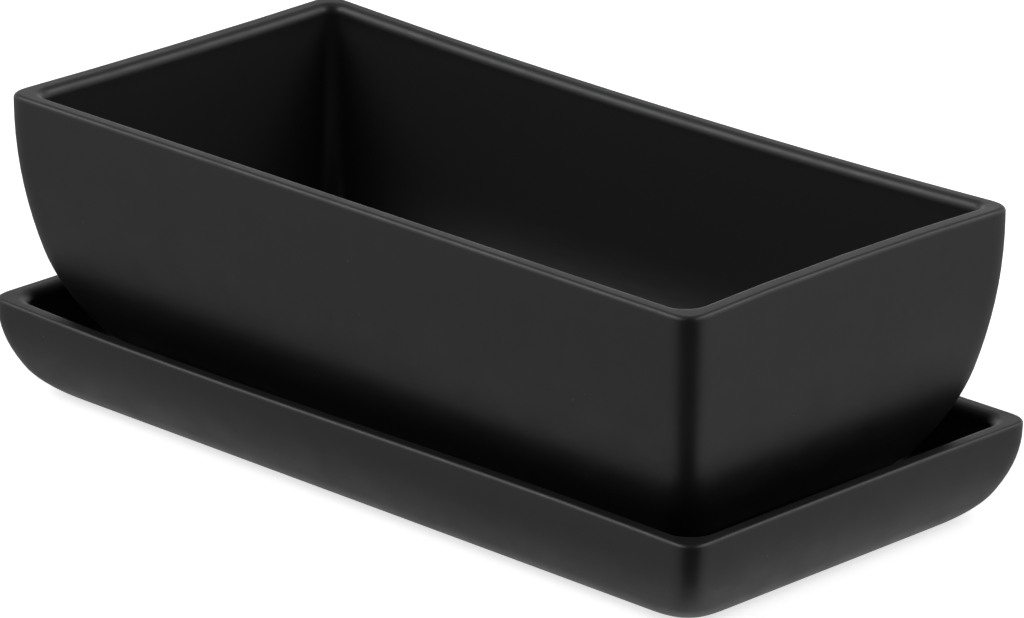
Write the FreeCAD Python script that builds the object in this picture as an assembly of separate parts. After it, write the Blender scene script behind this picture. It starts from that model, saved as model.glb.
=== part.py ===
import FreeCAD, Part
import math
import os

from FreeCAD import Vector

# Indoor herb planter: a long rectangular ceramic pot that stands loose in its drip saucer.
# Millimetres. +X runs along the planter, +Y to its back, +Z up, and z = 0 is the table.
# A wall is upright at the rim and then curves in along tangent arcs, each given as
# (radius, degrees turned), so that the foot is smaller than the rim on all four sides.

wall_arc_steps = 4       # outlines stacked along each arc of a wall
past = 2.0               # how far a shape that cuts or joins runs past the surface it works on

# Pot, outside
pot_length = 305.0
pot_width = 147.0
pot_rim_z = 103.0
pot_upright = 3.3
pot_arcs = ((210.0, 13.8), (77.0, 22.2), (17.6, 38.2))
pot_corner = 6.5
pot_edge_round = 1.6

# Pot, inside: the wall keeps about the same thickness down to the floor
pot_wall = 6.6
pot_inner_arcs = ((207.0, 12.7), (80.0, 19.7), (14.9, 57.6))
pot_floor_z = 22.0
pot_inner_corner_top = 8.5
pot_inner_corner_floor = 15.0
pot_inner_edge_round = 3.0

# Pot foot: a low ring cast in one with the pot, notched so that water runs out from under it
pot_foot_z = 10.0
pot_foot_step = 1.6
pot_foot_ring = 8.0
pot_foot_corner = 9.0
pot_foot_inner_corner = 6.0
pot_foot_bevel = 0.8
pot_underside_z = 14.0
foot_notch_width = 11.5
foot_notch_height = 2.6
foot_notch_spacing = 150.0

# Drain holes through the pot's floor, in one line
drain_hole_radius = 6.0
drain_hole_spacing = 80.0
drain_hole_bevel = 1.0

# Drain screens: loose moulded mesh discs that lie over the holes
screen_radius = 13.0
screen_thickness = 1.2
screen_border = 2.2
screen_mesh_pitch = 3.8
screen_mesh_opening = 2.6

# Saucer, outside
saucer_length = 314.9
saucer_width = 154.7
saucer_rim_z = 32.7
saucer_arcs = ((47.5, 27.5), (15.0, 42.7))
saucer_corner = 6.0
saucer_edge_round = 1.5

# Saucer, inside
saucer_wall = 6.8
saucer_inner_arcs = ((31.6, 28.7), (9.7, 61.3))
saucer_floor_z = 10.0
saucer_inner_corner_top = 7.5
saucer_inner_corner_floor = 14.0
saucer_inner_edge_round = 2.3

# Saucer foot: a flat band left round a shallow recess
saucer_foot_z = 1.0
saucer_foot_band = 15.0
saucer_foot_corner = 10.0
saucer_recess_depth = 2.0

# Pads stuck under the saucer's foot, near its corners
pad_radius = 4.5
pad_inset = 24.5         # from the saucer's rim to the pad's middle, both ways


def rounded_rectangle(half_length, half_width, radius, z):
    """Closed outline of four straight sides and four corner arcs, at height z."""
    edges = []
    last = Vector(half_length, -(half_width - radius), z)
    for along, across, start in ((1, 1, 0), (-1, 1, 90), (-1, -1, 180), (1, -1, 270)):
        centre = Vector(along * (half_length - radius), across * (half_width - radius), z)
        points = []
        for turn in (0, 45, 90):
            angle = math.radians(start + turn)
            points.append(centre + Vector(radius * math.cos(angle), radius * math.sin(angle), 0))
        edges.append(Part.makeLine(last, points[0]))
        edges.append(Part.Arc(points[0], points[1], points[2]).toShape())
        last = points[2]
    return Part.Wire(edges)


def wall_steps(arcs, steps):
    """For each arc of a wall, how far the wall has come in and down at equal steps along it."""
    walls = []
    inset = 0.0
    drop = 0.0
    lean = 0.0
    for radius, turn in arcs:
        places = []
        for i in range(steps + 1):
            angle = lean + math.radians(turn) * i / steps
            places.append((inset + radius * (math.cos(lean) - math.cos(angle)),
                           drop + radius * (math.sin(angle) - math.sin(lean))))
        walls.append(places)
        inset, drop = places[-1]
        lean += math.radians(turn)
    return walls


def wall_end(arcs):
    """How far a wall comes in and down over all its arcs."""
    return wall_steps(arcs, 1)[-1][-1]


def curved_form(length, width, top_z, low_z, arcs, corner_top, corner_low):
    """Solid whose four walls follow the arcs: rounded outlines stacked from the foot to the rim.

    The corner radius changes from corner_top, where the curve starts, to corner_low at its end.
    """
    inset, whole_drop = wall_end(arcs)
    curve_z = low_z + whole_drop
    outlines = [rounded_rectangle(length / 2, width / 2, corner_top, top_z),
                rounded_rectangle(length / 2, width / 2, corner_top, curve_z)]
    for places in wall_steps(arcs, wall_arc_steps):
        for inset, drop in places[1:]:
            corner = corner_top + (corner_low - corner_top) * (drop / whole_drop) ** 2
            outlines.append(rounded_rectangle(length / 2 - inset, width / 2 - inset, corner, curve_z - drop))
    outlines.reverse()
    return Part.makeLoft(outlines, True, True)


def straight_form(half_length, half_width, radius, low_z, high_z):
    """Upright block with rounded corners."""
    outline = rounded_rectangle(half_length, half_width, radius, low_z)
    return Part.Face(outline).extrude(Vector(0, 0, high_z - low_z))


def ring_edges(body, z, outside):
    """Edges of the flat ring at height z: those of its outer outline, or of its inner one."""
    edges = []
    for face in body.Faces:
        box = face.BoundBox
        if abs(box.ZMin - z) < 0.001 and abs(box.ZMax - z) < 0.001:
            for wire in face.Wires:
                if wire.isSame(face.OuterWire) == outside:
                    edges += wire.Edges
    return edges


def round_rim(body, z, outer_round, inner_round):
    """Rounds both edges of the rim."""
    body = body.makeFillet(outer_round, ring_edges(body, z, True))
    return body.makeFillet(inner_round, ring_edges(body, z, False))


def drain_positions():
    """The three places along X where the pot drains."""
    return (-drain_hole_spacing, 0.0, drain_hole_spacing)


def foot_notch(x, y):
    """Arched passage across one side of the pot's foot ring: the top of a round bar laid across it."""
    radius = ((foot_notch_width / 2) ** 2 + foot_notch_height ** 2) / (2 * foot_notch_height)
    start = Vector(x, y - pot_foot_ring, pot_foot_z + foot_notch_height - radius)
    return Part.makeCylinder(radius, 2 * pot_foot_ring, start, Vector(0, 1, 0))


def make_pot():
    """The pot: curved walls, foot ring, hollow, rounded rim, drain holes and foot notches."""
    inset, drop = wall_end(pot_arcs)
    wall_low_z = pot_rim_z - pot_upright - drop
    body = curved_form(pot_length, pot_width, pot_rim_z, wall_low_z, pot_arcs, pot_corner, pot_corner)

    foot_half_length = pot_length / 2 - inset - pot_foot_step
    foot_half_width = pot_width / 2 - inset - pot_foot_step
    body = body.fuse(straight_form(foot_half_length, foot_half_width, pot_foot_corner,
                                   pot_foot_z, wall_low_z + past))
    body = body.cut(straight_form(foot_half_length - pot_foot_ring, foot_half_width - pot_foot_ring,
                                  pot_foot_inner_corner, pot_foot_z - past, pot_underside_z))
    body = body.makeChamfer(pot_foot_bevel, ring_edges(body, pot_foot_z, True))

    body = body.cut(curved_form(pot_length - 2 * pot_wall, pot_width - 2 * pot_wall, pot_rim_z + past,
                                pot_floor_z, pot_inner_arcs, pot_inner_corner_top, pot_inner_corner_floor))
    body = round_rim(body, pot_rim_z, pot_edge_round, pot_inner_edge_round)

    for x in drain_positions():
        body = body.cut(Part.makeCylinder(drain_hole_radius, pot_floor_z, Vector(x, 0, pot_foot_z)))
        body = body.cut(Part.makeCone(drain_hole_radius, drain_hole_radius + 2 * drain_hole_bevel,
                                      2 * drain_hole_bevel, Vector(x, 0, pot_floor_z - drain_hole_bevel)))
    for across in (-1, 1):
        for along in (-1, 1):
            body = body.cut(foot_notch(along * foot_notch_spacing / 2,
                                       across * (foot_half_width - pot_foot_ring / 2)))
    return body


def make_saucer():
    """The saucer: curved walls, recess that leaves its foot, hollow and rounded rim."""
    body = curved_form(saucer_length, saucer_width, saucer_rim_z, saucer_foot_z,
                       saucer_arcs, saucer_corner, saucer_corner)
    inset = wall_end(saucer_arcs)[0]
    body = body.cut(straight_form(saucer_length / 2 - inset - saucer_foot_band,
                                  saucer_width / 2 - inset - saucer_foot_band, saucer_foot_corner,
                                  saucer_foot_z - past, saucer_foot_z + saucer_recess_depth))
    body = body.cut(curved_form(saucer_length - 2 * saucer_wall, saucer_width - 2 * saucer_wall,
                                saucer_rim_z + past, saucer_floor_z, saucer_inner_arcs,
                                saucer_inner_corner_top, saucer_inner_corner_floor))
    return round_rim(body, saucer_rim_z, saucer_edge_round, saucer_inner_edge_round)


def make_screen(x):
    """Mesh disc with a solid border and a grid of square openings."""
    disc = Part.makeCylinder(screen_radius, screen_thickness, Vector(x, 0, pot_floor_z))
    openings = []
    half = screen_mesh_opening / 2
    count = int(screen_radius / screen_mesh_pitch)
    for i in range(-count, count + 1):
        for j in range(-count, count + 1):
            centre = Vector(i * screen_mesh_pitch, j * screen_mesh_pitch, 0)
            if math.hypot(abs(centre.x) + half, abs(centre.y) + half) > screen_radius - screen_border:
                continue
            corner = centre + Vector(x - half, -half, pot_floor_z - past)
            openings.append(Part.makeBox(screen_mesh_opening, screen_mesh_opening,
                                         screen_thickness + 2 * past, corner))
    return disc.cut(Part.makeCompound(openings))


def make_pad(along, across):
    """Thin round pad between the saucer's foot and the table."""
    middle = Vector(along * (saucer_length / 2 - pad_inset), across * (saucer_width / 2 - pad_inset), 0)
    return Part.makeCylinder(pad_radius, saucer_foot_z, middle)


pieces = {"pot": make_pot(), "saucer": make_saucer()}
for side, x in zip(("left", "centre", "right"), drain_positions()):
    pieces["drain_screen_" + side] = make_screen(x)
for row, across in (("front", -1), ("back", 1)):
    for side, along in (("left", -1), ("right", 1)):
        pieces["foot_pad_" + row + "_" + side] = make_pad(along, across)

os.makedirs("parts", exist_ok=True)
for name, shape in pieces.items():
    print(name, "valid", shape.isValid(), "solids", len(shape.Solids), "volume cm3", round(shape.Volume / 1000, 2))
    shape.exportStep("parts/" + name + ".step")
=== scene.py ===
import math
import bmesh
import bpy
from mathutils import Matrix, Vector


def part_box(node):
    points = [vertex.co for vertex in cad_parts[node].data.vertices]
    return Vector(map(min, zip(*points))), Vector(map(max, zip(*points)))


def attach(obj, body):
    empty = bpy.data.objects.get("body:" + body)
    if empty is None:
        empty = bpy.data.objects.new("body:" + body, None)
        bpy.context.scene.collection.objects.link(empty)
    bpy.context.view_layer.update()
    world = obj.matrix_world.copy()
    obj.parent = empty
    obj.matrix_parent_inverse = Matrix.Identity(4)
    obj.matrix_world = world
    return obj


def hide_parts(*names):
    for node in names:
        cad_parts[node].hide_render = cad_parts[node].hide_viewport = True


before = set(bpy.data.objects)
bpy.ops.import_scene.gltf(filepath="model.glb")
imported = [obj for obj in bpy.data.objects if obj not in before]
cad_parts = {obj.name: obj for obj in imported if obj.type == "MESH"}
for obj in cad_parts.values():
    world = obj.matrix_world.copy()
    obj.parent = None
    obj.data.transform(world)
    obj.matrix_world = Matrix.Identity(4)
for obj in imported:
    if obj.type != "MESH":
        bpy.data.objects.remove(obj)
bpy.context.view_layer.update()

mm = 0.001
hair = 0.01 * mm    # nearer than this counts as the same place


# Small helpers

def deselectAll():
    if bpy.context.object and bpy.context.object.mode != 'OBJECT':
        bpy.ops.object.mode_set(mode='OBJECT')
    bpy.ops.object.select_all(action='DESELECT')


def makeActive(piece):
    deselectAll()
    piece.select_set(True)
    bpy.context.view_layer.objects.active = piece


def pick(piece, kind, wanted):  # selects the verts, edges or faces that wanted(element) is true for
    mesh = bmesh.from_edit_mesh(piece.data)
    bpy.ops.mesh.select_all(action='DESELECT')
    bpy.ops.mesh.select_mode(type=kind)
    elements = {'VERT': mesh.verts, 'EDGE': mesh.edges, 'FACE': mesh.faces}[kind]
    for element in elements:
        element.select_set(wanted(element))
    bmesh.update_edit_mesh(piece.data)


def applyModifier(piece, kind, **settings):
    makeActive(piece)
    modifier = piece.modifiers.new(kind.lower(), kind)
    for name, value in settings.items():
        setattr(modifier, name, value)
    bpy.ops.object.modifier_apply(modifier=modifier.name)


def applyPlace(piece):
    makeActive(piece)
    bpy.ops.object.transform_apply(location=True, rotation=True, scale=True)


def joinInto(piece, others):
    deselectAll()
    for other in others:
        other.select_set(True)
    piece.select_set(True)
    bpy.context.view_layer.objects.active = piece
    bpy.ops.object.join()


def copyOf(piece, name):  # with its own mesh
    twin = piece.copy()
    twin.data = piece.data.copy()
    twin.name = name
    bpy.context.scene.collection.objects.link(twin)
    return twin


def cutAway(piece, cutters):  # the cutters are used up
    for cutter in cutters:
        applyModifier(piece, 'BOOLEAN', operation='DIFFERENCE', solver='EXACT', object=cutter)
        bpy.data.objects.remove(cutter)


def middleOf(name):
    low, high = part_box(name)
    return (low + high) / 2


# Curved ceramic walls, shared by the pot and the saucer

shellMesh = {
    "columnsLong": 11,      # faces along a long wall, each wider than the widest corner round
    "columnsShort": 4,
    "arcSteps": 9,          # levels along each arc of a wall
    "cornerSegments": 16,
    "cornerProfile": 0.65,  # outside corners turn hardest in their middle and run out softly into the walls
    "innerCornerProfile": 0.5,
    "rimSegments": 8,
    "rimOutside": 0.45,     # the part of the wall's thickness that belongs to the rim's outer edge
    "sharpAngle": 35,       # degrees, above which an edge stays crisp
    "normalWeight": 60,
}


def wallPlaces(arcs):  # how far a wall has come in and down, from its upright top to its end
    places = [(0.0, 0.0)]
    lean = 0.0
    for radius, turn in arcs:
        inset, drop = places[-1]
        for i in range(1, shellMesh["arcSteps"] + 1):
            angle = lean + math.radians(turn) * i / shellMesh["arcSteps"]
            places.append((inset + radius * (math.cos(lean) - math.cos(angle)),
                           drop + radius * (math.sin(angle) - math.sin(lean))))
        lean += math.radians(turn)
    return places


def drawShell(name, halfLength, halfWidth, levels):
    # a grid is extruded from level to level, each (inset from the rim outline, height)
    inset, z = levels[0]
    deselectAll()
    bpy.ops.mesh.primitive_grid_add(x_subdivisions=shellMesh["columnsLong"],
                                    y_subdivisions=shellMesh["columnsShort"], size=1, location=(0, 0, z))
    shell = bpy.context.object
    shell.name = name
    applyPlace(shell)
    bpy.ops.object.mode_set(mode='EDIT')
    bpy.ops.mesh.select_all(action='SELECT')
    bpy.ops.transform.resize(value=(2 * (halfLength - inset), 2 * (halfWidth - inset), 1),
                             center_override=(0, 0, z))
    for nextInset, nextZ in levels[1:]:
        bpy.ops.mesh.extrude_region_move(TRANSFORM_OT_translate={"value": (0, 0, nextZ - z)})
        bpy.ops.transform.resize(value=((halfLength - nextInset) / (halfLength - inset),
                                        (halfWidth - nextInset) / (halfWidth - inset), 1),
                                 center_override=(0, 0, nextZ))
        inset, z = nextInset, nextZ
    bpy.ops.object.mode_set(mode='OBJECT')
    return shell


def openTop(shell, z):
    makeActive(shell)
    bpy.ops.object.mode_set(mode='EDIT')
    pick(shell, 'FACE', lambda face: all(abs(v.co.z - z) < hair for v in face.verts))
    bpy.ops.mesh.delete(type='FACE')
    bpy.ops.object.mode_set(mode='OBJECT')


def roundMitres(shell, halfLength, halfWidth, radiusAt, profile):
    # the edges that climb the four corners of the shell, each rounded by what radiusAt gives for its middle
    mesh = shell.data
    radii = []
    for edge in mesh.edges:
        ends = [mesh.vertices[i].co for i in edge.vertices]
        onMitre = all(abs((halfLength - abs(end.x)) - (halfWidth - abs(end.y))) < hair for end in ends)
        radii.append(radiusAt((ends[0] + ends[1]) / 2) if onMitre else 0.0)
    weights = mesh.attributes.new("bevel_weight_edge", 'FLOAT', 'EDGE')
    weights.data.foreach_set("value", [radius / max(radii) for radius in radii])
    applyModifier(shell, 'BEVEL', width=max(radii), segments=shellMesh["cornerSegments"], profile=profile,
                  limit_method='WEIGHT', offset_type='OFFSET', use_clamp_overlap=False)


def closeRim(body, halfLength, halfWidth, wall, rimZ, outerRound, innerRound):
    # the open edges of outside and hollow are bridged by a flat rim, then both its edges are rounded
    makeActive(body)
    bpy.ops.object.mode_set(mode='EDIT')
    pick(body, 'EDGE', lambda edge: edge.is_boundary)
    bpy.ops.mesh.bridge_edge_loops()
    bpy.ops.mesh.select_all(action='SELECT')
    bpy.ops.mesh.normals_make_consistent(inside=False)

    def isRimEdge(edge, outside):
        if any(abs(v.co.z - rimZ) > hair for v in edge.verts) or len(edge.link_faces) != 2:
            return False
        if abs(edge.link_faces[0].normal.z - edge.link_faces[1].normal.z) < 0.5:    # both faces lie flat
            return False
        middle = (edge.verts[0].co + edge.verts[1].co) / 2
        fromSide = min(halfLength - abs(middle.x), halfWidth - abs(middle.y))
        return (fromSide < wall * shellMesh["rimOutside"]) == outside

    for outside, radius in ((True, outerRound), (False, innerRound)):
        pick(body, 'EDGE', lambda edge: isRimEdge(edge, outside))
        bpy.ops.mesh.bevel(offset_type='OFFSET', offset=radius, segments=shellMesh["rimSegments"],
                           profile=0.5, affect='EDGES')
    bpy.ops.object.mode_set(mode='OBJECT')


def growingRound(rimRadius, footRadius, rimZ, footZ, power=2):  # corner radius by height, wide at the foot
    return lambda place: rimRadius + (footRadius - rimRadius) * ((rimZ - place.z) / (rimZ - footZ)) ** power


def makeShell(name, halfLength, halfWidth, rimZ, outsideLevels, shape, outerRadiusAt):
    # outside and hollow are drawn apart, then joined across the rim
    outside = drawShell(name, halfLength, halfWidth, outsideLevels)
    openTop(outside, rimZ)
    roundMitres(outside, halfLength, halfWidth, outerRadiusAt, shellMesh["cornerProfile"])
    innerWalls = wallPlaces(shape["innerArcs"])
    innerCurveZ = shape["floorZ"] + innerWalls[-1][1]
    innerLevels = [(shape["wall"], rimZ)]       # no level comes within the rim's inner round
    innerLevels += [(shape["wall"] + inset, innerCurveZ - drop) for inset, drop in innerWalls
                    if innerCurveZ - drop < rimZ - shape["innerRimRound"]]
    innerLength = halfLength - shape["endWallExtra"]
    hollow = drawShell(name + "_hollow", innerLength, halfWidth, innerLevels)
    openTop(hollow, rimZ)
    frontRound = growingRound(shape["innerCorner"], shape["innerCornerFloor"], rimZ, shape["floorZ"])
    backRound = growingRound(shape["innerCornerBack"], shape["innerCornerFloor"], rimZ, shape["floorZ"])
    roundMitres(hollow, innerLength, halfWidth,
                lambda place: backRound(place) if place.y > 0 else frontRound(place),
                shellMesh["innerCornerProfile"])
    poured = hollow.data.attributes.new("poured", 'FLOAT', 'POINT')    # where the inner coat was poured in
    poured.data.foreach_set("value", [1.0] * len(hollow.data.vertices))
    joinInto(outside, [hollow])
    closeRim(outside, halfLength, halfWidth, shape["wall"], rimZ, shape["rimRound"], shape["innerRimRound"])
    return outside


# What firing did to the castings: walls drawn in, rims sagged or lifted, most at the rim and in the
# middle of a side, nothing at the foot

kilnLattice = {"pointsLong": 7, "pointsWide": 5, "pointsHigh": 4,
               "climb": 1.5,       # power by which the warp grows from foot to rim
               "swayGain": 2.6}    # makes the fullest place of the S one


def warpInKiln(body, warp):
    corners = [Vector(corner) for corner in body.bound_box]
    low, high = corners[0], corners[6]
    size = high - low
    deselectAll()
    bpy.ops.object.add(type='LATTICE', location=(low + high) / 2)
    lattice = bpy.context.object
    lattice.scale = size
    cage = lattice.data
    cage.points_u, cage.points_v, cage.points_w = (kilnLattice["pointsLong"], kilnLattice["pointsWide"],
                                                   kilnLattice["pointsHigh"])
    cage.interpolation_type_u = cage.interpolation_type_v = cage.interpolation_type_w = 'KEY_CATMULL_ROM'
    for point in cage.points:
        along, across = 2 * point.co.x, 2 * point.co.y
        climb = (point.co.z + 0.5) ** kilnLattice["climb"]
        front, back, left, right = (1 - across) / 2, (1 + across) / 2, (1 - along) / 2, (1 + along) / 2
        bowLong, bowShort = 1 - along ** 2, 1 - across ** 2
        sway = (along - along ** 3) * kilnLattice["swayGain"]      # an S along a long side
        move = Vector((bowShort * (warp["leftIn"] * left - warp["rightIn"] * right) - along * warp["shorter"],
                       bowLong * (warp["frontIn"] * front - warp["backIn"] * back) - across * warp["narrower"]
                       + sway * warp["frontSway"] * front,
                       bowLong * (warp["frontUp"] * front + warp["backUp"] * back)
                       + bowShort * (warp["leftUp"] * left + warp["rightUp"] * right)))
        move *= climb
        point.co_deform = point.co + Vector((move.x / size.x, move.y / size.y, move.z / size.z))
    bpy.context.view_layer.update()
    applyModifier(body, 'LATTICE', object=lattice)
    bpy.data.objects.remove(lattice)


def finishCeramic(body):
    makeActive(body)
    bpy.ops.object.shade_smooth_by_angle(angle=math.radians(shellMesh["sharpAngle"]))
    applyModifier(body, 'WEIGHTED_NORMAL', keep_sharp=True, weight=shellMesh["normalWeight"])


# The pot

potShape = {
    "upright": 3.3 * mm,
    "arcs": ((210 * mm, 13.8), (77 * mm, 22.2), (17.6 * mm, 38.2)),
    "corner": 9.6 * mm,          # at the rim
    "cornerFoot": 14.0 * mm,     # where the wall ends above the foot ring
    "rimRound": 1.6 * mm,
    "wall": 6.6 * mm,
    "endWallExtra": 0.9 * mm,    # the two short walls were cast thicker
    "innerArcs": ((207 * mm, 12.7), (80 * mm, 19.7), (14.9 * mm, 57.6)),
    "innerCorner": 7.0 * mm,
    "innerCornerBack": 4.0 * mm,    # the two corners at the back came out of the mould sharper
    "innerCornerFloor": 8.8 * mm,
    "innerRimRound": 3.2 * mm,
    "floorZ": 22.0 * mm,
    "underside": 4.0 * mm,       # above the foot
    "footStep": 1.6 * mm,
    "footRing": 8.0 * mm,
    "footRingCorner": 6.0 * mm,  # inside the ring
    "footBevel": 0.8 * mm,
    "warp": {"frontIn": 0.15 * mm, "backIn": 0.55 * mm, "leftIn": 0.5 * mm, "rightIn": 0.5 * mm,
             "frontUp": 0.1 * mm, "backUp": -2.4 * mm, "leftUp": -0.35 * mm, "rightUp": 1.1 * mm,
             "narrower": 0.45 * mm, "shorter": 0.2 * mm, "frontSway": 0.0},
}

# skim lets the flares pass just through both faces of the floor, so that the cut leaves no slivers
drainHole = {"radius": 6.0 * mm, "flare": 1.6 * mm, "flareSteps": 5, "sides": 48, "skim": 0.03 * mm,
             "past": 2.0 * mm}
footNotch = {"width": 11.5 * mm, "height": 2.6 * mm, "fromMiddle": 75.0 * mm, "depth": 16.0 * mm, "sides": 64}


def drainCutter(middle, lowZ, highZ):
    # a plug as wide as the hole, flaring at both ends where the glaze rounded the edges
    radius, flare, steps = drainHole["radius"], drainHole["flare"], drainHole["flareSteps"]
    lowZ, highZ = lowZ - drainHole["skim"], highZ + drainHole["skim"]
    levels = [(radius + flare, lowZ - drainHole["past"]), (radius + flare, lowZ)]
    turns = [math.radians(90) * i / steps for i in range(1, steps + 1)]
    levels += [(radius + flare * (1 - math.sin(turn)), lowZ + flare * (1 - math.cos(turn))) for turn in turns]
    levels += [(radius + flare * (1 - math.cos(turn)), highZ - flare * (1 - math.sin(turn)))
               for turn in [0] + turns]
    levels.append((radius + flare, highZ + drainHole["past"]))
    width, z = levels[0]
    deselectAll()
    bpy.ops.mesh.primitive_circle_add(vertices=drainHole["sides"], radius=width, fill_type='NGON',
                                      location=(middle.x, middle.y, z))
    cutter = bpy.context.object
    applyPlace(cutter)
    bpy.ops.object.mode_set(mode='EDIT')
    bpy.ops.mesh.select_all(action='SELECT')
    for nextWidth, nextZ in levels[1:]:
        bpy.ops.mesh.extrude_region_move(TRANSFORM_OT_translate={"value": (0, 0, nextZ - z)})
        bpy.ops.transform.resize(value=(nextWidth / width, nextWidth / width, 1),
                                 center_override=(middle.x, middle.y, nextZ))
        width, z = nextWidth, nextZ
    bpy.ops.mesh.select_all(action='SELECT')
    bpy.ops.mesh.normals_make_consistent(inside=False)
    bpy.ops.object.mode_set(mode='OBJECT')
    return cutter


def notchCutter(x, y, footZ):
    # a round bar laid across the foot ring, as low as leaves an arch of the notch's width and height
    halfWidth, height = footNotch["width"] / 2, footNotch["height"]
    radius = (halfWidth ** 2 + height ** 2) / (2 * height)
    deselectAll()
    bpy.ops.mesh.primitive_cylinder_add(vertices=footNotch["sides"], radius=radius, depth=footNotch["depth"],
                                        location=(x, y, footZ + height - radius),
                                        rotation=(math.radians(90), 0, 0))
    cutter = bpy.context.object
    applyPlace(cutter)
    return cutter


def makePot():
    low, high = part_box("pot")
    halfLength, halfWidth = high.x, high.y
    walls = wallPlaces(potShape["arcs"])
    curveZ = high.z - potShape["upright"]
    endInset, endDrop = walls[-1]
    endZ = curveZ - endDrop
    footInset = endInset + potShape["footStep"]
    ringInset = footInset + potShape["footRing"]
    bevel, undersideZ = potShape["footBevel"], low.z + potShape["underside"]
    levels = [(ringInset + bevel, undersideZ), (ringInset, undersideZ - bevel), (ringInset, low.z + bevel),
              (ringInset - bevel, low.z), (footInset + bevel, low.z), (footInset, low.z + bevel),
              (footInset, endZ - bevel), (footInset - bevel / 2, endZ)]
    levels += [(inset, curveZ - drop) for inset, drop in reversed(walls)]
    levels.append((0.0, high.z))
    wallRadiusAt = growingRound(potShape["corner"], potShape["cornerFoot"], high.z, endZ)

    def radiusAt(place):
        if halfLength - abs(place.x) > ringInset - 2 * bevel:
            return potShape["footRingCorner"]
        return wallRadiusAt(place) if place.z > endZ else potShape["cornerFoot"]

    pot = makeShell("pot_cast", halfLength, halfWidth, high.z, levels, potShape, radiusAt)
    cutters = [drainCutter(middleOf("drain_screen_" + side), undersideZ, potShape["floorZ"])
               for side in ("left", "centre", "right")]
    ringMiddle = halfWidth - footInset - potShape["footRing"] / 2
    cutters += [notchCutter(along * footNotch["fromMiddle"], across * ringMiddle, low.z)
                for along in (-1, 1) for across in (-1, 1)]
    cutAway(pot, cutters)
    warpInKiln(pot, potShape["warp"])
    finishCeramic(pot)
    return pot


# The saucer

saucerShape = {
    "arcs": ((47.5 * mm, 27.5), (15.0 * mm, 42.7)),
    "corner": 8.8 * mm,
    "cornerFoot": 24.0 * mm,
    "cornerFootNear": 16.0 * mm,    # the corner at front right, which was shaped less round
    "recessCorner": 15.0 * mm,
    "rimRound": 1.2 * mm,
    "wall": 6.8 * mm,
    "endWallExtra": 0.0,
    "innerArcs": ((31.6 * mm, 28.7), (9.7 * mm, 61.3)),
    "innerCorner": 7.5 * mm,
    "innerCornerBack": 6.0 * mm,
    "innerCornerFloor": 13.0 * mm,
    "innerRimRound": 3.8 * mm,
    "floorZ": 10.0 * mm,
    "footBand": 15.0 * mm,
    "recess": 2.0 * mm,
    "footBevel": 0.6 * mm,
    "warp": {"frontIn": 0.2 * mm, "backIn": 0.0, "leftIn": 0.0, "rightIn": -0.1 * mm,
             "frontUp": -0.7 * mm, "backUp": 0.0, "leftUp": 0.0, "rightUp": 0.3 * mm,
             "narrower": 0.1 * mm, "shorter": -0.3 * mm, "frontSway": 1.5 * mm},
}


def makeSaucer():
    low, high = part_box("saucer")
    walls = wallPlaces(saucerShape["arcs"])
    endInset, endDrop = walls[-1]
    curveZ = low.z + endDrop
    bandInset = endInset + saucerShape["footBand"]
    bevel, recessZ = saucerShape["footBevel"], low.z + saucerShape["recess"]
    levels = [(bandInset + bevel, recessZ), (bandInset, recessZ - bevel), (bandInset, low.z + bevel),
              (bandInset - bevel, low.z)]
    levels += [(inset, curveZ - drop) for inset, drop in reversed(walls)]
    levels.append((0.0, high.z))
    wallRadiusAt = growingRound(saucerShape["corner"], saucerShape["cornerFoot"], high.z, low.z, power=4)
    nearRadiusAt = growingRound(saucerShape["corner"], saucerShape["cornerFootNear"], high.z, low.z, power=4)

    def radiusAt(place):
        if high.x - abs(place.x) > endInset + bevel:
            return saucerShape["recessCorner"]
        return nearRadiusAt(place) if place.x > 0 > place.y else wallRadiusAt(place)

    saucer = makeShell("saucer_cast", high.x, high.y, high.z, levels, saucerShape, radiusAt)
    warpInKiln(saucer, saucerShape["warp"])
    finishCeramic(saucer)
    return saucer


# The drain screens: one is moulded, the others are copies of it

screenShape = {"border": 2.2 * mm, "pitch": 3.8 * mm, "opening": 2.6 * mm, "sides": 96,
               "edge": 0.25 * mm, "edgeSegments": 2, "edgeAngle": 40, "sharpAngle": 50}


def makeScreen(name):
    low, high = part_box(name)
    middle, radius = (low + high) / 2, (high.x - low.x) / 2
    deselectAll()
    bpy.ops.mesh.primitive_cylinder_add(vertices=screenShape["sides"], radius=radius, depth=high.z - low.z,
                                        location=middle)
    screen = bpy.context.object
    screen.name = name + "_mesh"
    applyPlace(screen)
    pitch, half = screenShape["pitch"], screenShape["opening"] / 2
    reach = int(radius / pitch)
    cutters = []
    for i in range(-reach, reach + 1):
        for j in range(-reach, reach + 1):
            if math.hypot(abs(i) * pitch + half, abs(j) * pitch + half) > radius - screenShape["border"]:
                continue
            deselectAll()
            where = middle + Vector((i * pitch, j * pitch, 0))
            bpy.ops.mesh.primitive_cube_add(size=2 * half, location=where)
            cutters.append(bpy.context.object)
            applyPlace(cutters[-1])
    joinInto(cutters[0], cutters[1:])
    cutAway(screen, cutters[:1])
    applyModifier(screen, 'BEVEL', width=screenShape["edge"], segments=screenShape["edgeSegments"],
                  limit_method='ANGLE', angle_limit=math.radians(screenShape["edgeAngle"]))
    makeActive(screen)
    bpy.ops.object.shade_smooth_by_angle(angle=math.radians(screenShape["sharpAngle"]))
    return screen


# The pads under the saucer, a little squashed by its weight

padShape = {"bulge": 0.12 * mm, "sides": 48, "edge": 0.18 * mm, "edgeSegments": 3, "sharpAngle": 60}


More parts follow.
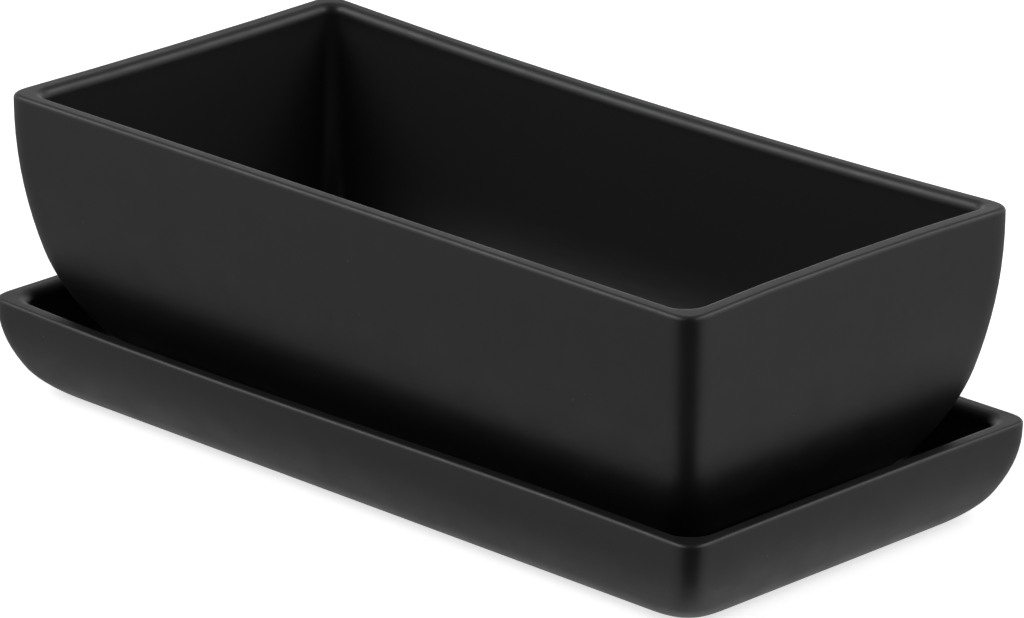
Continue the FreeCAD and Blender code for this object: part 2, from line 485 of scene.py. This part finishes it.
def makePad(name):
    low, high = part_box(name)
    middle, radius = (low + high) / 2, (high.x - low.x) / 2
    deselectAll()
    bpy.ops.mesh.primitive_cylinder_add(vertices=padShape["sides"], radius=radius - padShape["bulge"],
                                        depth=high.z - low.z, location=middle, end_fill_type='NGON')
    pad = bpy.context.object
    pad.name = name + "_foam"
    applyPlace(pad)
    bpy.ops.object.mode_set(mode='EDIT')
    pick(pad, 'EDGE', lambda edge: abs(edge.verts[0].co.z - edge.verts[1].co.z) < hair)
    bpy.ops.mesh.bevel(offset_type='OFFSET', offset=padShape["edge"], segments=padShape["edgeSegments"],
                       profile=0.5, affect='EDGES')
    upright = (high.z - low.z) / 2 - 0.9 * padShape["edge"]      # the part of the side that bulges
    pick(pad, 'VERT', lambda vert: abs(vert.co.z - middle.z) < upright)
    grow = radius / (radius - padShape["bulge"])
    bpy.ops.transform.resize(value=(grow, grow, 1), center_override=middle)
    bpy.ops.object.mode_set(mode='OBJECT')
    bpy.ops.object.shade_smooth_by_angle(angle=math.radians(padShape["sharpAngle"]))
    return pad


# Finishes

def fromHex(text):  # sRGB hex to linear
    channels = []
    for i in (0, 2, 4):
        value = int(text[i:i + 2], 16) / 255
        channels.append(value / 12.92 if value <= 0.04045 else ((value + 0.055) / 1.055) ** 2.4)
    return (*channels, 1.0)


def perMetre(sizeMm):  # texture scale for a pattern of that size, on object coordinates in metres
    return 1000.0 / sizeMm


def addNode(tree, kind, inputs=None, **settings):
    node = tree.nodes.new(kind)
    for name, value in settings.items():
        setattr(node, name, value)
    for socket, value in (inputs or {}).items():
        if isinstance(value, bpy.types.NodeSocket):
            tree.links.new(value, node.inputs[socket])
        else:
            node.inputs[socket].default_value = value
    return node


def newMaterial(name):
    material = bpy.data.materials.new(name)
    material.use_nodes = True
    material.node_tree.nodes.clear()
    return material, material.node_tree


glazeLook = {    # sizes of patterns in millimetres
    "dark": "141415", "light": "191a1b", "mottle": 3.0,
    "speckPatch": 7.0, "speckReach": 0.035,   # at most one speck in each patch, and its part of the patch
    "speckBar": 0.62, "speckColour": "55534f",    # patches that draw a number above this have one
    "clay": "3b3733", "clayPale": "4a453f",   # dark stoneware where the foot was wiped clean
    "grit": 0.7, "clayRough": 0.85,
    "wander": 5.0, "wipedWander": 0.8 * mm,   # unevenness of the line where the glaze was wiped off
    "flow": 11.0, "flowLow": 0.3, "flowHigh": 0.7,     # the glaze ran a little: dull and bright patches
    "roughFrom": 0.40, "roughTo": 0.48,
    "innerRim": "29292a", "innerFloorShade": "0a0a0b",      # painted light and shade: lighter grey by the rim, darker down the hollow to the floor
    "innerRough": 0.34,
    "overlap": 3.0 * mm, "overlapWander": 3.0 * mm,    # how far the outer coat laps over the inner one
    "overlapFade": 6.0 * mm,
    "swell": 24.0, "swellDepth": 0.05 * mm,   # slow unevenness of the coat
    "drag": 9.0, "dragDepth": 0.03 * mm, "dragSquash": 3.5,    # streaks left level by the dipping
    "ripple": 6.0, "rippleDepth": 0.012 * mm,
    "grain": 0.9, "grainDepth": 0.004 * mm,   # coarser than the crystals of a real glaze, so that it shows
}


def satinBlackGlaze(name, footZ, rimZ):
    # stoneware dipped in a matt black glaze: a soft sheen that breaks up over a faint ripple, and inside,
    # below where the two coats lap, a smoother poured coat with painted light and shade: lighter grey by the
    # rim, where light reaches, and black at the floor, where shade falls
    look = glazeLook
    material, tree = newMaterial(name)
    place = addNode(tree, 'ShaderNodeTexCoord').outputs["Object"]
    mottle = addNode(tree, 'ShaderNodeTexNoise', {"Vector": place, "Scale": perMetre(look["mottle"]),
                                                   "Detail": 3.0})
    glaze = addNode(tree, 'ShaderNodeMix', {"Factor": mottle.outputs["Fac"], "A": fromHex(look["dark"]),
                                            "B": fromHex(look["light"])}, data_type='RGBA')

    # a few pinhead specks of undissolved oxide
    patches = addNode(tree, 'ShaderNodeTexVoronoi', {"Vector": place, "Scale": perMetre(look["speckPatch"])})
    inMiddle = addNode(tree, 'ShaderNodeMath', {0: patches.outputs["Distance"], 1: look["speckReach"]},
                       operation='LESS_THAN')
    drawn = addNode(tree, 'ShaderNodeMath', {0: patches.outputs["Color"], 1: look["speckBar"]},
                    operation='GREATER_THAN')
    speck = addNode(tree, 'ShaderNodeMath', {0: inMiddle.outputs[0], 1: drawn.outputs[0]},
                    operation='MULTIPLY')
    specked = addNode(tree, 'ShaderNodeMix', {"Factor": speck.outputs[0], "A": glaze.outputs[2],
                                              "B": fromHex(look["speckColour"])}, data_type='RGBA')

    # bare clay on the foot, up to an uneven line
    height = addNode(tree, 'ShaderNodeSeparateXYZ', {"Vector": place})
    wander = addNode(tree, 'ShaderNodeTexNoise', {"Vector": place, "Scale": perMetre(look["wander"]),
                                                  "Detail": 2.0})
    line = addNode(tree, 'ShaderNodeMath', {0: wander.outputs["Fac"], 1: look["wipedWander"], 2: footZ},
                   operation='MULTIPLY_ADD')
    bare = addNode(tree, 'ShaderNodeMath', {0: height.outputs["Z"], 1: line.outputs[0]},
                   operation='LESS_THAN')
    grit = addNode(tree, 'ShaderNodeTexNoise', {"Vector": place, "Scale": perMetre(look["grit"]),
                                                "Detail": 3.0})
    clay = addNode(tree, 'ShaderNodeMix', {"Factor": grit.outputs["Fac"], "A": fromHex(look["clay"]),
                                           "B": fromHex(look["clayPale"])}, data_type='RGBA')

    # the poured coat inside, up to an uneven line where the dipped coat laps over it
    poured = addNode(tree, 'ShaderNodeAttribute', attribute_name="poured")
    lapLine = addNode(tree, 'ShaderNodeMath', {0: wander.outputs["Fac"], 1: look["overlapWander"],
                                               2: rimZ - look["overlap"] - look["overlapWander"] / 2},
                      operation='MULTIPLY_ADD')
    below = addNode(tree, 'ShaderNodeMath', {0: lapLine.outputs[0], 1: height.outputs["Z"]},
                    operation='SUBTRACT')
    faded = addNode(tree, 'ShaderNodeMapRange', {"Value": below.outputs[0], "From Min": 0.0,
                                                 "From Max": look["overlapFade"]},
                    interpolation_type='SMOOTHSTEP')
    inner = addNode(tree, 'ShaderNodeMath', {0: faded.outputs["Result"], 1: poured.outputs["Fac"]},
                    operation='MULTIPLY')
    # painted light and shade: the inside is painted lighter by the rim and darker down the hollow toward the
    # floor, where less light reaches
    depthForShade = addNode(tree, 'ShaderNodeMapRange', {"Value": height.outputs["Z"], "From Min": rimZ,
                                                    "From Max": footZ})
    insideShadeRamp = addNode(tree, 'ShaderNodeMix', {"Factor": depthForShade.outputs["Result"],
                                                "A": fromHex(look["innerRim"]),
                                                "B": fromHex(look["innerFloorShade"])}, data_type='RGBA')
    coats = addNode(tree, 'ShaderNodeMix', {"Factor": inner.outputs[0], "A": specked.outputs[2],
                                            "B": insideShadeRamp.outputs[2]}, data_type='RGBA')
    colour = addNode(tree, 'ShaderNodeMix', {"Factor": bare.outputs[0], "A": coats.outputs[2],
                                             "B": clay.outputs[2]}, data_type='RGBA')

    flow = addNode(tree, 'ShaderNodeTexNoise', {"Vector": place, "Scale": perMetre(look["flow"]),
                                                "Detail": 4.0})
    sheen = addNode(tree, 'ShaderNodeMapRange', {"Value": flow.outputs["Fac"],
                                                 "From Min": look["flowLow"], "From Max": look["flowHigh"],
                                                 "To Min": look["roughFrom"], "To Max": look["roughTo"]})
    coatRough = addNode(tree, 'ShaderNodeMix', {"Factor": inner.outputs[0], "A": sheen.outputs["Result"],
                                                "B": look["innerRough"]}, data_type='FLOAT')
    rough = addNode(tree, 'ShaderNodeMix', {"Factor": bare.outputs[0], "A": coatRough.outputs[0],
                                            "B": look["clayRough"]}, data_type='FLOAT')
    squashed = addNode(tree, 'ShaderNodeVectorMath', {0: place, 1: (1.0, 1.0, look["dragSquash"])},
                       operation='MULTIPLY').outputs[0]
    normal = None       # four waves of relief, each laid over the one before
    for where, size, depth, detail in ((place, look["swell"], look["swellDepth"], 1.0),
                                       (squashed, look["drag"], look["dragDepth"], 3.0),
                                       (place, look["ripple"], look["rippleDepth"], 1.0),
                                       (place, look["grain"], look["grainDepth"], 2.0)):
        wave = addNode(tree, 'ShaderNodeTexNoise', {"Vector": where, "Scale": perMetre(size),
                                                    "Detail": detail})
        inputs = {"Height": wave.outputs["Fac"], "Strength": 1.0, "Distance": depth}
        if normal:
            inputs["Normal"] = normal
        normal = addNode(tree, 'ShaderNodeBump', inputs).outputs["Normal"]
    shader = addNode(tree, 'ShaderNodeBsdfPrincipled', {
        "Base Color": colour.outputs[2], "Roughness": rough.outputs[0], "IOR": 1.5, "Normal": normal})
    addNode(tree, 'ShaderNodeOutputMaterial', {"Surface": shader.outputs["BSDF"]})
    return material


# both patterns are several times coarser than the real ones, so that they show
screenLook = {"dark": "1c1c1d", "light": "262627", "grain": 0.5, "grainDepth": 0.02 * mm, "rough": 0.5}
padLook = {"dark": "242424", "light": "3a3a3a", "cell": 0.4, "cellDepth": 0.05 * mm, "rough": 0.8}


def mouldedPlastic():
    # polypropylene from a spark-eroded mould: dull black with a very fine even grain
    material, tree = newMaterial("mouldedBlackPolypropylene")
    place = addNode(tree, 'ShaderNodeTexCoord').outputs["Object"]
    grain = addNode(tree, 'ShaderNodeTexNoise', {"Vector": place, "Scale": perMetre(screenLook["grain"]),
                                                 "Detail": 2.0})
    colour = addNode(tree, 'ShaderNodeMix', {"Factor": grain.outputs["Fac"], "A": fromHex(screenLook["dark"]),
                                             "B": fromHex(screenLook["light"])}, data_type='RGBA')
    bump = addNode(tree, 'ShaderNodeBump', {"Height": grain.outputs["Fac"],
                                            "Distance": screenLook["grainDepth"]})
    shader = addNode(tree, 'ShaderNodeBsdfPrincipled', {
        "Base Color": colour.outputs[2], "Roughness": screenLook["rough"], "IOR": 1.49,
        "Normal": bump.outputs["Normal"]})
    addNode(tree, 'ShaderNodeOutputMaterial', {"Surface": shader.outputs["BSDF"]})
    return material


def foamRubber():
    # closed-cell foam rubber: dark grey, no shine, pitted by its cells
    material, tree = newMaterial("darkFoamRubber")
    place = addNode(tree, 'ShaderNodeTexCoord').outputs["Object"]
    cells = addNode(tree, 'ShaderNodeTexVoronoi', {"Vector": place, "Scale": perMetre(padLook["cell"])})
    colour = addNode(tree, 'ShaderNodeMix', {"Factor": cells.outputs["Distance"],
                                             "A": fromHex(padLook["dark"]),
                                             "B": fromHex(padLook["light"])}, data_type='RGBA')
    bump = addNode(tree, 'ShaderNodeBump', {"Height": cells.outputs["Distance"],
                                            "Distance": padLook["cellDepth"]})
    shader = addNode(tree, 'ShaderNodeBsdfPrincipled', {
        "Base Color": colour.outputs[2], "Roughness": padLook["rough"], "IOR": 1.5,
        "Normal": bump.outputs["Normal"]})
    addNode(tree, 'ShaderNodeOutputMaterial', {"Surface": shader.outputs["BSDF"]})
    return material


def dress(piece, material):
    piece.data.materials.clear()
    piece.data.materials.append(material)


# The set

cameraPlace = {"azimuth": 44.80, "elevation": 20.17, "distance": 2463.3 * mm, "focalPixels": 7731.0,
               "aimZ": 46.0 * mm, "aimRight": 4.07 * mm, "aimUp": 2.48 * mm, "imageWidth": 1024,
               "sensorWidth": 36.0, "clipEnd": 100.0}


def viewAxes():
    azimuth = math.radians(cameraPlace["azimuth"])
    elevation = math.radians(cameraPlace["elevation"])
    right = Vector((math.cos(azimuth), math.sin(azimuth), 0))
    back = Vector((math.sin(azimuth) * math.cos(elevation), -math.cos(azimuth) * math.cos(elevation),
                   math.sin(elevation)))
    return right, back.cross(right), back


def placeCamera():
    right, up, back = viewAxes()
    middle = Vector((0, 0, cameraPlace["aimZ"]))
    stand = middle + back * cameraPlace["distance"]
    aim = middle + right * cameraPlace["aimRight"] + up * cameraPlace["aimUp"]
    data = bpy.data.cameras.new("camera")
    data.sensor_width = cameraPlace["sensorWidth"]
    data.lens = cameraPlace["focalPixels"] / cameraPlace["imageWidth"] * data.sensor_width
    data.clip_end = cameraPlace["clipEnd"]
    camera = bpy.data.objects.new("camera", data)
    bpy.context.scene.collection.objects.link(camera)
    camera.location = stand
    camera.rotation_euler = (aim - stand).to_track_quat('-Z', 'Y').to_euler()
    bpy.context.scene.camera = camera


studio = {
    "radianceLeft": 3.8,
    "radianceRight": 3.1,
    "softboxSize": (2.4, 1.4),
    "softboxAway": 2.2,
    "softboxHeight": 1.95,
    "softboxAimZ": 0.05,
    "floorSize": 12,
    "skyLevel": 0.25,             # light from all round on matt surfaces
    "floorColour": "e6e6e6",
    "floorLift": 0.72,            # added for the camera, so that the floor is white away from the shadow
    # what the glaze mirrors, from straight down to straight up: (height of the direction, brightness)
    "mirrored": ((-1.0, 0.66), (-0.72, 0.64), (-0.50, 0.44), (-0.34, 0.41), (-0.12, 0.65), (0.10, 1.3),
                 (0.34, 0.44), (0.60, 0.12), (1.0, 0.12)),
    "flagSpread": (0.25, 0.60),   # a black flag before the front corner: cosines where it starts and is full
    "flagLevel": 0.12,
    "flagFoot": (-1.0, -0.88),   # heights between which the pale floor takes over from the flag
    "rightGain": 0.11,            # the right of the room is this much brighter, the left this much darker
    "backSpread": (-0.3, -0.9), "backLevel": 0.41,   # the plain wall behind the object, which the rims mirror
}


def softbox(name, direction, radiance):
    width, height = studio["softboxSize"]
    data = bpy.data.lights.new(name, 'AREA')
    data.shape = 'RECTANGLE'
    data.size = width
    data.size_y = height
    data.energy = radiance * math.pi * width * height
    lamp = bpy.data.objects.new(name, data)
    bpy.context.scene.collection.objects.link(lamp)
    lamp.location = direction * studio["softboxAway"] + Vector((0, 0, studio["softboxHeight"]))
    aim = Vector((0, 0, studio["softboxAimZ"]))
    lamp.rotation_euler = (aim - lamp.location).to_track_quat('-Z', 'Y').to_euler()
    lamp.visible_camera = False


def layFloor():
    deselectAll()
    bpy.ops.mesh.primitive_plane_add(size=studio["floorSize"])
    floor = bpy.context.object
    floor.name = "floor"
    material, tree = newMaterial("paleFloor")
    path = addNode(tree, 'ShaderNodeLightPath')
    matt = addNode(tree, 'ShaderNodeBsdfDiffuse', {"Color": fromHex(studio["floorColour"])})
    lift = addNode(tree, 'ShaderNodeEmission', {"Color": (1, 1, 1, 1), "Strength": studio["floorLift"]})
    lifted = addNode(tree, 'ShaderNodeAddShader', {0: matt.outputs[0], 1: lift.outputs[0]})
    seen = addNode(tree, 'ShaderNodeMixShader', {0: path.outputs["Is Camera Ray"], 1: matt.outputs[0],
                                                 2: lifted.outputs[0]})
    addNode(tree, 'ShaderNodeOutputMaterial', {"Surface": seen.outputs[0]})
    dress(floor, material)
    floor.visible_glossy = False      # the world gives the floor that the glaze mirrors


def lightWorld():
    # white for the camera, an even pale room for matt surfaces, and the studio itself for the glaze to mirror
    world = bpy.data.worlds.new("studio")
    bpy.context.scene.world = world
    world.use_nodes = True
    tree = world.node_tree
    tree.nodes.clear()
    path = addNode(tree, 'ShaderNodeLightPath')
    direction = addNode(tree, 'ShaderNodeTexCoord').outputs["Generated"]
    height = addNode(tree, 'ShaderNodeSeparateXYZ', {"Vector": direction})
    spread = addNode(tree, 'ShaderNodeMapRange', {"Value": height.outputs["Z"], "From Min": -1.0,
                                                  "From Max": 1.0})
    ramp = addNode(tree, 'ShaderNodeValToRGB', {"Fac": spread.outputs["Result"]})
    stops = studio["mirrored"]
    ramp.color_ramp.interpolation = 'EASE'
    for place, level in stops[1:-1]:
        ramp.color_ramp.elements.new((place + 1) / 2)
    for element, (place, level) in zip(ramp.color_ramp.elements, stops):
        element.position = (place + 1) / 2
        element.color = (level, level, level, 1)

    # the room by its compass: a little brighter on the right, a flag in front, a plain wall behind
    right, _, back = viewAxes()
    levelled = addNode(tree, 'ShaderNodeVectorMath', {0: direction, 1: (1, 1, 0)}, operation='MULTIPLY')
    flat = addNode(tree, 'ShaderNodeVectorMath', {0: levelled.outputs[0]}, operation='NORMALIZE')
    front = Vector((back.x, back.y, 0)).normalized()
    aside = addNode(tree, 'ShaderNodeVectorMath', {0: flat.outputs[0], 1: right}, operation='DOT_PRODUCT')
    tilt = addNode(tree, 'ShaderNodeMath', {0: aside.outputs["Value"], 1: studio["rightGain"], 2: 1.0},
                   operation='MULTIPLY_ADD')
    facing = addNode(tree, 'ShaderNodeVectorMath', {0: flat.outputs[0], 1: front}, operation='DOT_PRODUCT')
    start, full = studio["flagSpread"]
    ahead = addNode(tree, 'ShaderNodeMapRange', {"Value": facing.outputs["Value"], "From Min": start,
                                                 "From Max": full}, interpolation_type='SMOOTHSTEP')
    low, high = studio["flagFoot"]
    above = addNode(tree, 'ShaderNodeMapRange', {"Value": height.outputs["Z"], "From Min": low,
                                                 "From Max": high}, interpolation_type='SMOOTHSTEP')
    flag = addNode(tree, 'ShaderNodeMath', {0: ahead.outputs["Result"], 1: above.outputs["Result"]},
                   operation='MULTIPLY')
    dimmed = addNode(tree, 'ShaderNodeMath', {0: flag.outputs[0], 1: studio["flagLevel"] - 1, 2: 1.0},
                     operation='MULTIPLY_ADD')
    flagged = addNode(tree, 'ShaderNodeMath', {0: ramp.outputs["Color"], 1: dimmed.outputs[0]},
                      operation='MULTIPLY')
    tilted = addNode(tree, 'ShaderNodeMath', {0: flagged.outputs[0], 1: tilt.outputs[0]},
                     operation='MULTIPLY')
    start, full = studio["backSpread"]
    behind = addNode(tree, 'ShaderNodeMapRange', {"Value": facing.outputs["Value"], "From Min": start,
                                                  "From Max": full}, interpolation_type='SMOOTHSTEP')
    wall = addNode(tree, 'ShaderNodeMath', {0: tilted.outputs[0], 1: studio["backLevel"]},
                   operation='MAXIMUM')
    mirrored = addNode(tree, 'ShaderNodeMix', {"Factor": behind.outputs["Result"], "A": tilted.outputs[0],
                                               "B": wall.outputs[0]}, data_type='FLOAT')
    room = addNode(tree, 'ShaderNodeBackground', {"Color": (1, 1, 1, 1), "Strength": studio["skyLevel"]})
    mirror = addNode(tree, 'ShaderNodeBackground', {"Color": (1, 1, 1, 1), "Strength": mirrored.outputs[0]})
    white = addNode(tree, 'ShaderNodeBackground', {"Color": (1, 1, 1, 1), "Strength": 1.0})
    lit = addNode(tree, 'ShaderNodeMixShader', {0: path.outputs["Is Glossy Ray"], 1: room.outputs[0],
                                                2: mirror.outputs[0]})
    seen = addNode(tree, 'ShaderNodeMixShader', {0: path.outputs["Is Camera Ray"], 1: lit.outputs[0],
                                                 2: white.outputs[0]})
    addNode(tree, 'ShaderNodeOutputWorld', {"Surface": seen.outputs[0]})


def buildSet():
    right = viewAxes()[0]
    placeCamera()
    softbox("softboxLeft", -right, studio["radianceLeft"])
    softbox("softboxRight", right, studio["radianceRight"])
    layFloor()
    lightWorld()
    bpy.context.scene.view_settings.view_transform = 'Standard'
    print("camera, softboxes, floor and world are set")


def settle(piece, node, body, material):
    dress(piece, material)
    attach(piece, body)
    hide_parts(node)
    print(piece.name, len(piece.data.polygons), "faces")


for make, node, glazeName in ((makePot, "pot", "satinBlackPotGlaze"),
                              (makeSaucer, "saucer", "satinBlackSaucerGlaze")):
    low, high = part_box(node)
    settle(make(), node, node, satinBlackGlaze(glazeName, low.z, high.z))

plastic = mouldedPlastic()
screens = {"centre": makeScreen("drain_screen_centre")}
for side in ("left", "right"):      # before the centre one is settled, whose marks a copy would keep
    screens[side] = copyOf(screens["centre"], "drain_screen_" + side + "_mesh")
    screens[side].location = middleOf("drain_screen_" + side) - middleOf("drain_screen_centre")
    applyPlace(screens[side])
for side, screen in screens.items():
    settle(screen, "drain_screen_" + side, "screen_" + side, plastic)

rubber = foamRubber()
for row in ("front", "back"):
    for side in ("left", "right"):
        name = "foot_pad_" + row + "_" + side
        settle(makePad(name), name, "saucer", rubber)

buildSet()
